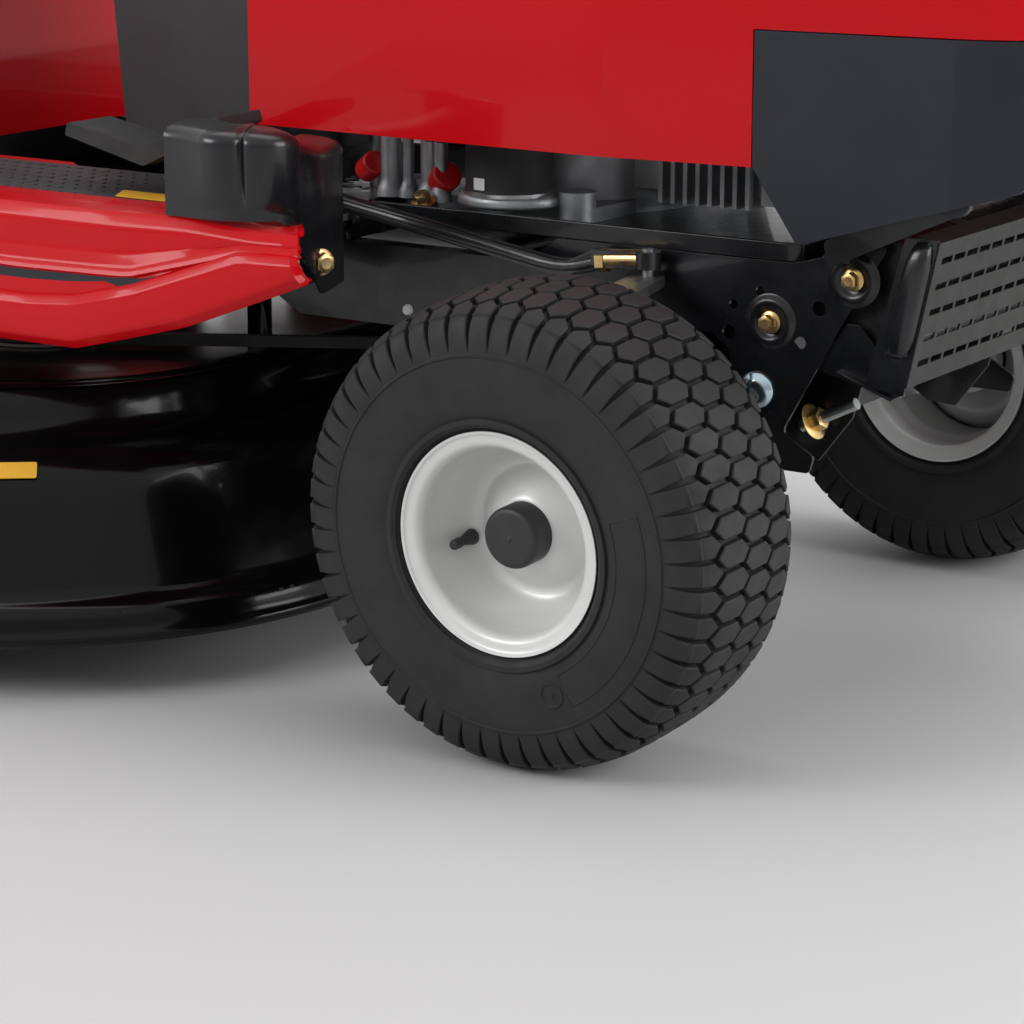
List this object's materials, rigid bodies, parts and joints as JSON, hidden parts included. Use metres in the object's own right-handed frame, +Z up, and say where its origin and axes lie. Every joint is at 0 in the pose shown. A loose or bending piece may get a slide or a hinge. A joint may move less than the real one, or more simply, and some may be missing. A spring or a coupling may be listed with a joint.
{
  "type": "riding lawn mower",
  "caption": "Lawn tractor with a front engine under a tilting hood, steered front wheels, a seat over the rear axle and a rotary mower deck hung between the axles.",
  "frame": {"origin": "on the ground under the middle of the machine's bounding box", "axes": "+X forward, +Y to the machine's left, +Z up"},
  "size_m": [1.8, 1.144, 1.0274],
  "materials": {
    "frame_black": "satin black powder coat",
    "deck_black": "gloss black",
    "red_paint": "gloss red",
    "arm_steel": "bare grey steel",
    "rod_black": "satin black",
    "zinc_steel": "zinc plated",
    "tyre_rubber": "matte rubber",
    "rim_silver": "satin silver paint",
    "black_plastic": "moulded black",
    "fascia_plastic": "moulded navy black",
    "soft_black": "soft black grip",
    "cast_aluminium": "cast",
    "belt_rubber": "matte",
    "muffler_black": "gloss black",
    "guard_steel": "weathered aluminised steel",
    "tank_plastic": "translucent white",
    "lens_clear": "clear lens",
    "seat_vinyl": "black vinyl",
    "blade_steel": "grey steel",
    "knob_yellow": "yellow"
  },
  "bodies": {
    "chassis": {"rail_left": "frame_black", "rail_right": "frame_black", "front_bracket": "frame_black", "engine_tray": "frame_black", "hitch_plate": "frame_black", "steering_bracket": "frame_black", "transaxle": "cast_aluminium", "drive_belt": "belt_rubber", "engine_block": "cast_aluminium", "blower_housing": "black_plastic", "starter_motor": "frame_black", "muffler": "muffler_black", "muffler_guard": "guard_steel", "fuel_tank": "tank_plastic", "battery": "black_plastic", "dash_console": "black_plastic", "dash_brackets": "deck_black", "footboard_right": "red_paint", "footboard_left": "red_paint", "rear_fender": "red_paint", "seat_bracket": "frame_black"},
    "hood": {"hood": "red_paint", "nose_fascia": "fascia_plastic", "grille": "fascia_plastic", "headlight_lenses": "lens_clear"},
    "front_axle": {"axle_beam": "frame_black"},
    "knuckle_right": {"knuckle_right": "arm_steel"},
    "knuckle_left": {"knuckle_left": "arm_steel"},
    "tie_rod": {"tie_rod": "frame_black"},
    "drag_link": {"drag_link": "rod_black"},
    "steering_sector": {"steering_sector": "zinc_steel"},
    "steering_pinion": {"steering_pinion": "zinc_steel"},
    "steering_wheel": {"steering_wheel": "soft_black"},
    "front_wheel_right": {"tyre_front_right": "tyre_rubber", "rim_front_right": "rim_silver", "hub_cap_front_right": "black_plastic"},
    "front_wheel_left": {"tyre_front_left": "tyre_rubber", "rim_front_left": "rim_silver", "hub_cap_front_left": "black_plastic"},
    "rear_wheel_right": {"tyre_rear_right": "tyre_rubber", "rim_rear_right": "rim_silver"},
    "rear_wheel_left": {"tyre_rear_left": "tyre_rubber", "rim_rear_left": "rim_silver"},
    "crankshaft": {"crankshaft_pulleys": "zinc_steel"},
    "fuel_cap": {"fuel_cap": "black_plastic"},
    "seat": {"seat_pan": "black_plastic", "seat_cushion": "seat_vinyl"},
    "deck": {"deck_shell": "deck_black", "deck_spindles": "cast_aluminium", "deck_belt": "belt_rubber"},
    "deck_flap": {"deck_flap": "soft_black"},
    "blade_right": {"blade_right": "blade_steel"},
    "blade_left": {"blade_left": "blade_steel"},
    "lift_shaft": {"lift_lever": "frame_black"},
    "front_links": {"front_links": "frame_black"},
    "brake_pedal": {"brake_pedal": "soft_black"},
    "drive_pedal": {"drive_pedal": "soft_black"},
    "throttle_lever": {"throttle_lever": "black_plastic"},
    "pto_knob": {"pto_knob": "knob_yellow"},
    "ignition_key": {"ignition_key": "black_plastic"}
  },
  "joints": [
    {"name": "hood_hinge", "type": "hinge", "parent": "chassis", "child": "hood", "pos_m": [0.8, 0, 0.44], "axis": [0, 1, 0], "range_deg": [0, 60]},
    {"name": "axle_pivot", "type": "hinge", "parent": "chassis", "child": "front_axle", "pos_m": [0.54, 0, 0.255], "axis": [1, 0, 0], "range_deg": [-3, 3]},
    {"name": "kingpin_right", "type": "hinge", "parent": "front_axle", "child": "knuckle_right", "pos_m": [0.54, -0.262, 0.255], "axis": [0, 0, 1], "range_deg": [-30, 30]},
    {"name": "kingpin_left", "type": "hinge", "parent": "front_axle", "child": "knuckle_left", "pos_m": [0.54, 0.262, 0.255], "axis": [0, 0, 1], "range_deg": [-30, 30]},
    {"name": "tie_rod_swivel", "type": "hinge", "parent": "knuckle_right", "child": "tie_rod", "pos_m": [0.465, -0.262, 0.226], "axis": [0, 0, 1], "range_deg": [-30, 30]},
    {"name": "drag_link_swivel", "type": "hinge", "parent": "knuckle_right", "child": "drag_link", "pos_m": [0.528, -0.208, 0.369], "axis": [0, 0, 1], "range_deg": [-30, 30]},
    {"name": "sector_pivot", "type": "hinge", "parent": "chassis", "child": "steering_sector", "pos_m": [0.18, -0.154, 0.365], "axis": [0, 0, 1], "range_deg": [-30, 30]},
    {"name": "pinion_spin", "type": "hinge", "parent": "chassis", "child": "steering_pinion", "pos_m": [0.112, 0, 0.365], "axis": [0, 0, 1], "range_deg": [-150, 150]},
    {"name": "steering_wheel_turn", "type": "hinge", "parent": "chassis", "child": "steering_wheel", "pos_m": [-0.105, 0, 0.945], "axis": [-0.4226, 0, 0.9063], "range_deg": [-150, 150]},
    {"name": "front_wheel_right_spin", "type": "hinge", "parent": "knuckle_right", "child": "front_wheel_right", "pos_m": [0.54, -0.376, 0.18834], "axis": [0, -0.9986, -0.0523], "continuous": true},
    {"name": "front_wheel_left_spin", "type": "hinge", "parent": "knuckle_left", "child": "front_wheel_left", "pos_m": [0.54, 0.376, 0.18834], "axis": [0, 0.9986, -0.0523], "continuous": true},
    {"name": "rear_wheel_right_spin", "type": "hinge", "parent": "chassis", "child": "rear_wheel_right", "pos_m": [-0.66, -0.36, 0.2285], "axis": [0, 1, 0], "continuous": true},
    {"name": "rear_wheel_left_spin", "type": "hinge", "parent": "chassis", "child": "rear_wheel_left", "pos_m": [-0.66, 0.36, 0.2285], "axis": [0, 1, 0], "continuous": true},
    {"name": "crankshaft_spin", "type": "hinge", "parent": "chassis", "child": "crankshaft", "pos_m": [0.34, 0, 0.4], "axis": [0, 0, 1], "continuous": true},
    {"name": "fuel_cap_turn", "type": "hinge", "parent": "chassis", "child": "fuel_cap", "pos_m": [0.15, 0.105, 0.65], "axis": [0, 0, 1], "continuous": true},
    {"name": "seat_tilt", "type": "hinge", "parent": "chassis", "child": "seat", "pos_m": [-0.32, 0, 0.622], "axis": [0, 1, 0], "range_deg": [0, 55]},
    {"name": "lift_lever_swing", "type": "hinge", "parent": "chassis", "child": "lift_shaft", "pos_m": [-0.39, 0, 0.33], "axis": [0, -1, 0], "range_deg": [0, 15.3]},
    {"name": "deck_level", "type": "hinge", "parent": "lift_shaft", "child": "deck", "pos_m": [-0.2421, 0, 0.30499], "axis": [0, -1, 0], "range_deg": [-15.3, 0], "deforming": ["deck_belt"]},
    {"name": "front_link_swing", "type": "hinge", "parent": "chassis", "child": "front_links", "pos_m": [-0.06, 0, 0.33], "axis": [0, -1, 0], "range_deg": [0, 15.3]},
    {"name": "deck_flap_swing", "type": "hinge", "parent": "deck", "child": "deck_flap", "pos_m": [-0.432, 0, 0.168], "axis": [0, 1, 0], "range_deg": [0, 70]},
    {"name": "blade_right_spin", "type": "hinge", "parent": "deck", "child": "blade_right", "pos_m": [-0.1, -0.232, 0.2], "axis": [0, 0, 1], "continuous": true},
    {"name": "blade_left_spin", "type": "hinge", "parent": "deck", "child": "blade_left", "pos_m": [-0.1, 0.232, 0.2], "axis": [0, 0, 1], "continuous": true},
    {"name": "brake_pedal_press", "type": "hinge", "parent": "chassis", "child": "brake_pedal", "pos_m": [0.14, 0.26, 0.43], "axis": [0, 1, 0], "range_deg": [0, 14], "stiffness_Nm_per_rad": 12, "springref_deg": -8.59},
    {"name": "drive_pedal_rock", "type": "hinge", "parent": "chassis", "child": "drive_pedal", "pos_m": [0.11, -0.26, 0.43], "axis": [0, 1, 0], "range_deg": [-10, 10], "stiffness_Nm_per_rad": 12},
    {"name": "throttle_swing", "type": "hinge", "parent": "chassis", "child": "throttle_lever", "pos_m": [0.022, 0.088, 0.826], "axis": [0, 1, 0], "range_deg": [-12, 12]},
    {"name": "pto_pull", "type": "slide", "parent": "chassis", "child": "pto_knob", "axis": [-1, 0, 0], "range_m": [0, 0.012]},
    {"name": "key_turn", "type": "hinge", "parent": "chassis", "child": "ignition_key", "pos_m": [-0.1, 0.09, 0.78], "axis": [1, 0, 0], "range_deg": [0, 60]}
  ],
  "couplings": [
    {"joint": "kingpin_left", "follows": "kingpin_right", "ratio": 1},
    {"joint": "tie_rod_swivel", "follows": "kingpin_right", "ratio": -1},
    {"joint": "drag_link_swivel", "follows": "kingpin_right", "ratio": -1},
    {"joint": "sector_pivot", "follows": "kingpin_right", "ratio": -1},
    {"joint": "pinion_spin", "follows": "kingpin_right", "ratio": 5},
    {"joint": "steering_wheel_turn", "follows": "kingpin_right", "ratio": 5},
    {"joint": "deck_level", "follows": "lift_lever_swing", "ratio": -1},
    {"joint": "front_link_swing", "follows": "lift_lever_swing", "ratio": 1},
    {"joint": "blade_left_spin", "follows": "blade_right_spin", "ratio": 1}
  ]
}
